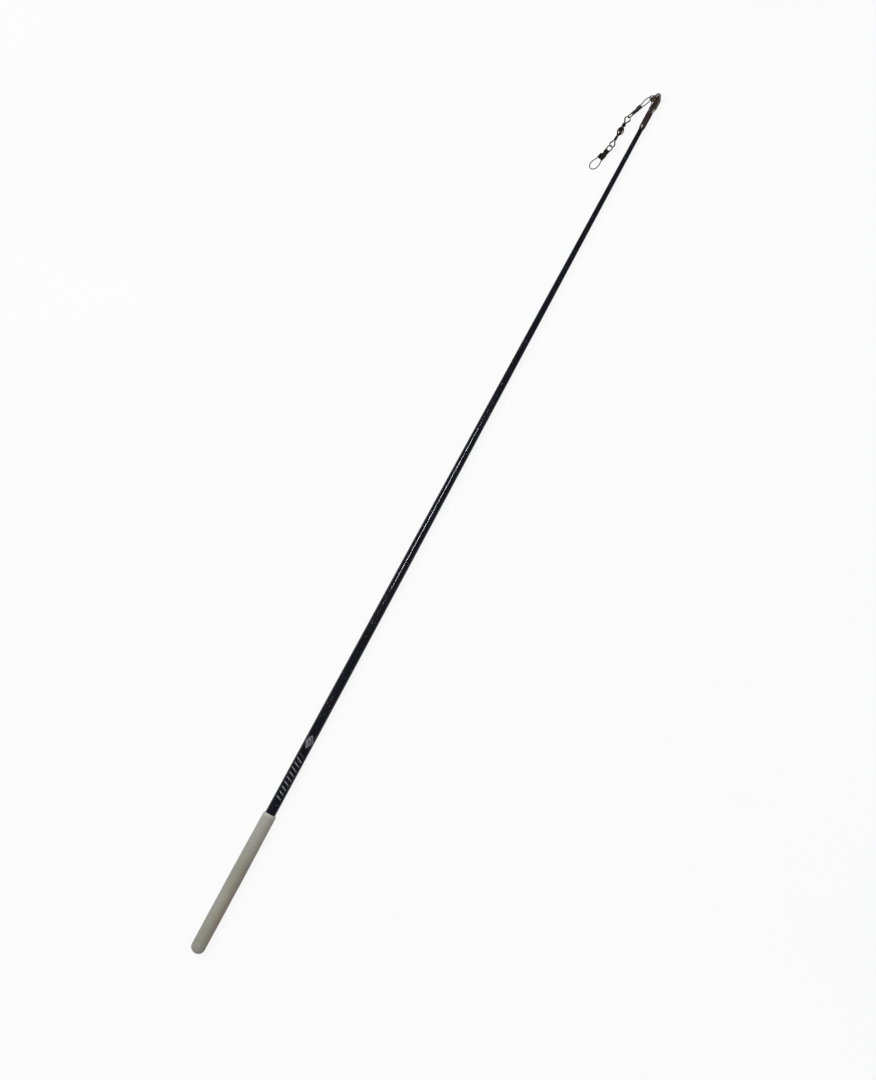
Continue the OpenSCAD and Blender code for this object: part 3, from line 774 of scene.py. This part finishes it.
def clasp_shells():
    """A clasp folded from sheet: pinched plates, tubes round the wires and an open latch lip."""
    plate = [(-4.1, -1.3), (-3.9, -1.5), (3.1, -1.6), (3.4, -1.4), (3.42, 1.1), (-3.9, 1.3),
             (-4.1, 1.1)]
    flap = [(-3.7, -0.92), (2.9, -0.98), (3.1, -0.75), (3.1, 0.55), (2.8, 0.72), (-3.4, 0.62),
            (-3.7, 0.4)]
    rib = arc((-1.9, -0.15), 0.26, 90, 270) + arc((1.9, -0.15), 0.26, -90, 90)
    shells = [slab(soften(plate, 0.2, True), -0.46, 0.46, 0.1),
              slab(soften(flap, 0.2, True), -0.5, 0.5, 0.04),
              slab(rib, -0.55, 0.55, 0.06)]
    for y, low, high, bore in ((-1.45, -0.9, 3.45, 0.35), (1.15, -4.2, -1.55, 0.32),
                               (-1.15, -4.2, -1.4, 0.32)):
        ring = [(low, bore), (low, CLASP_TUBE_R), (high, CLASP_TUBE_R), (high, bore)]
        shells.append(moved(lathe(fill(soften(ring, 0.06, True), 0.5, True), 40, closed=True),
                            shift(0, y)))
    lip = [(1.0, -0.55), (2.08, -0.55), (2.08, 0.5), (1.95, 0.5), (1.95, -0.36),
           (1.15, -0.36), (1.15, 0.5), (0.95, 0.5), (0.95, -0.3)]
    upright = Matrix(((0, 0, 1, 0), (1, 0, 0, 0), (0, 1, 0, 0), (0, 0, 0, 1)))
    shells.append(moved(slab(soften(lip, 0.07, True), 0.1, 3.4, 0.03), upright))
    return shells


def snap(prefix, place):
    """One snap hook: a clasp, the bow that opens and the eye that stays."""
    rod_part = [Vector((x, PIVOT_Y, 0)) for x in (PIVOT_FROM, 0.6, 1.8, 2.8)]
    bow = rod_part + smooth(BOW, CURVE_STEPS)
    radii = [SNAP_ROD_R if p.x < CLASP_FRONT and p.y < 0 else SNAP_WIRE_R for p in bow]
    make(prefix + "_bow", prefix + "_snap_bow", place, sweep(bow, radii, 24))
    legs = [Vector((x, EYE[0][1], 0)) for x in (EYE_LEG_TO, -2.8)]
    eye = legs + smooth(EYE, CURVE_STEPS) + [Vector((p.x, -p.y, 0)) for p in reversed(legs)]
    radii = []
    for p in eye:
        out_of_clasp = max(0.0, min(1.0, (CLASP_BACK - p.x) / 0.5))
        full = SNAP_ROD_R + (SNAP_EYE_R - SNAP_ROD_R) * out_of_clasp
        radii.append(eye_radius(full, p.x + EYE_REACH))
    make(prefix + "_eye", prefix + "_snap_eye", place, sweep(eye, radii, 24))
    make(prefix + "_clasp", prefix + "_snap_clasp", place, *clasp_shells())


# ---- swivel ----


def helix(radius, start, end, turns, first, steps=24):
    """Points along a coil about X, from its first angle in degrees."""
    count = max(2, round(turns * steps))
    points = []
    for i in range(count + 1):
        a = math.radians(first) + math.tau * turns * i / count
        points.append(Vector((start + (end - start) * i / count, radius * math.cos(a),
                              radius * math.sin(a))))
    return points


def swivel_top():
    """The upper eye: a wire loop wound round a shank that ends in a head inside the cage."""
    shank = [(3.9, 0), (4.1, 0.5), (4.4, SHOULDER_R), (6.9, SHOULDER_R), (6.95, SHANK_R),
             (HEAD_FROM, SHANK_R), (HEAD_FROM + 0.05, SHANK_R + 0.1), (HEAD_FROM + 0.5, HEAD_R),
             (HEAD_TO - 0.5, HEAD_R), (HEAD_TO, 0.48), (HEAD_TO, 0)]
    wound = helix(WRAP_RING_R, start=4.92, end=6.68, turns=2.2, first=-60)
    path = smooth(UPPER_EYE, CURVE_STEPS)
    radii = [eye_radius(SWIVEL_EYE_R, p.x) for p in path]
    make("swivel_upper_eye", "swivel_upper_eye", SWIVEL_TOP, sweep(path, radii, 24),
         lathe(fill(soften(shank, 0.14), 0.4), 48), sweep(wound, WRAP_WIRE_R, 20))


def cage():
    """Flat bowed bars between a collar and an end disc."""
    bore, edge = SHANK_R + 0.04, COLLAR_R - 0.12
    collar = [(COLLAR_FROM, bore), (COLLAR_FROM, edge), (COLLAR_FROM + 0.15, COLLAR_R),
              (COLLAR_TO - 0.15, COLLAR_R), (COLLAR_TO, edge), (COLLAR_TO, bore)]
    disc = [(DISC_FROM, 0), (DISC_FROM, DISC_R), (DISC_TO - 0.25, DISC_R), (DISC_TO, 0.6),
            (DISC_TO, 0)]
    shells = [lathe(fill(soften(collar, 0.08, True), 0.3, True), 48, closed=True),
              lathe(fill(soften(disc, 0.12), 0.3), 48)]
    for k in range(CAGE_BARS):
        bar = sweep(smooth(CAGE_BAR, CURVE_STEPS), CAGE_BAR_R, 24, CAGE_BAR_WIDE)
        shells.append(moved(bar, turn(360 / CAGE_BARS * k, "X")))
    make("swivel_cage", "swivel_cage", SWIVEL_BOTTOM, *shells)


def swivel_bottom():
    """The lower eye: one wire whose two ends are twisted together where they leave the cage."""
    twist = []
    for degrees in range(0, NECK_TURN + 1, NECK_STEP):
        a = math.radians(degrees)
        x = NECK_TO - (NECK_TO - NECK_FROM) * degrees / NECK_TURN
        twist.append(Vector((x, NECK_R * math.cos(a), NECK_R * math.sin(a))))
    one = [Vector((DISC_TO, twist[-1].y, twist[-1].z))] + twist[::-1]
    other = [Vector((p.x, -p.y, -p.z)) for p in reversed(one)]
    eye = [Vector((SWIVEL_LENGTH + x, y, 0)) for x, y in LOWER_EYE]
    path = smooth(one + eye + other, CURVE_STEPS)
    radii = [eye_radius(SWIVEL_EYE_R, SWIVEL_LENGTH - p.x) if p.x > NECK_TO + 0.35
             else SNAP_WIRE_R for p in path]
    make("swivel_lower_eye", "swivel_lower_eye", SWIVEL_BOTTOM, sweep(path, radii, 20),
         sweep(helix(NECK_RING_R, start=13.95, end=16.65, turns=3.2, first=40), NECK_WRAP_R, 20))


rod()
grip()
ferrule()
pin()
nose()
hoop()
snap("upper", UPPER_SNAP)
snap("lower", LOWER_SNAP)
swivel_top()
cage()
swivel_bottom()
low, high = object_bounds()

# ---- floor, light and camera ----


def aim(thing, target):
    thing.rotation_euler = (Vector(target) - thing.location).to_track_quat("-Z", "Y").to_euler()


def lamp(name, place, target, size, power, in_reflections=True):
    """A soft rectangular lamp, which shiny surfaces may or may not mirror."""
    data = bpy.data.lights.new(name, "AREA")
    data.shape = "RECTANGLE"
    data.size, data.size_y = size
    data.energy = power
    light = bpy.data.objects.new(name, data)
    light.location = place
    light.visible_glossy = in_reflections
    bpy.context.scene.collection.objects.link(light)
    aim(light, target)


def studio():
    """A table lit from below, weak light from all round, a soft key and one small strip."""
    mesh = bpy.data.meshes.new("floor")
    bm = bmesh.new()
    bmesh.ops.create_grid(bm, x_segments=8, y_segments=8, size=TABLE_HALF)
    bm.to_mesh(mesh)
    bm.free()
    floor = bpy.data.objects.new("floor", mesh)
    middle = ((low.x + high.x) / 2, 0, 0)
    floor.location = (middle[0], 0, low.z)
    f = Finish("floor", Roughness=0.9, Specular_IOR_Level=0.1)
    f.set(Base_Color=f.steps(f.cloud(6, 2.0), (0.3, 0.06), (0.7, 0.07)),
          Emission_Color=(TABLE_GLOW, TABLE_GLOW, TABLE_GLOW), Emission_Strength=1.0)
    mesh.materials.append(f.material)
    bpy.context.scene.collection.objects.link(floor)
    world = bpy.data.worlds.new("studio")
    world.use_nodes = True
    air = world.node_tree.nodes["Background"].inputs
    air["Color"].default_value = (1, 1, 1, 1)
    air["Strength"].default_value = AIR_LIGHT
    bpy.context.scene.world = world
    bpy.context.scene.view_settings.view_transform = "Standard"
    lamp("key", KEY_AT, middle, KEY_SIZE, KEY_POWER, in_reflections=False)
    lamp("strip", STRIP_AT, middle, STRIP_SIZE, STRIP_POWER)


def camera():
    """Looks straight down on the stick, which lies on a slant across the picture."""
    data = bpy.data.cameras.new("camera")
    data.lens = LENS
    data.clip_end = 50
    eye = bpy.data.objects.new("camera", data)
    eye.location = (*VIEW_CENTRE, VIEW_HEIGHT * LENS / data.sensor_width)
    eye.rotation_euler = (0, 0, math.radians(VIEW_TURN))
    bpy.context.scene.collection.objects.link(eye)
    bpy.context.scene.camera = eye


studio()
camera()
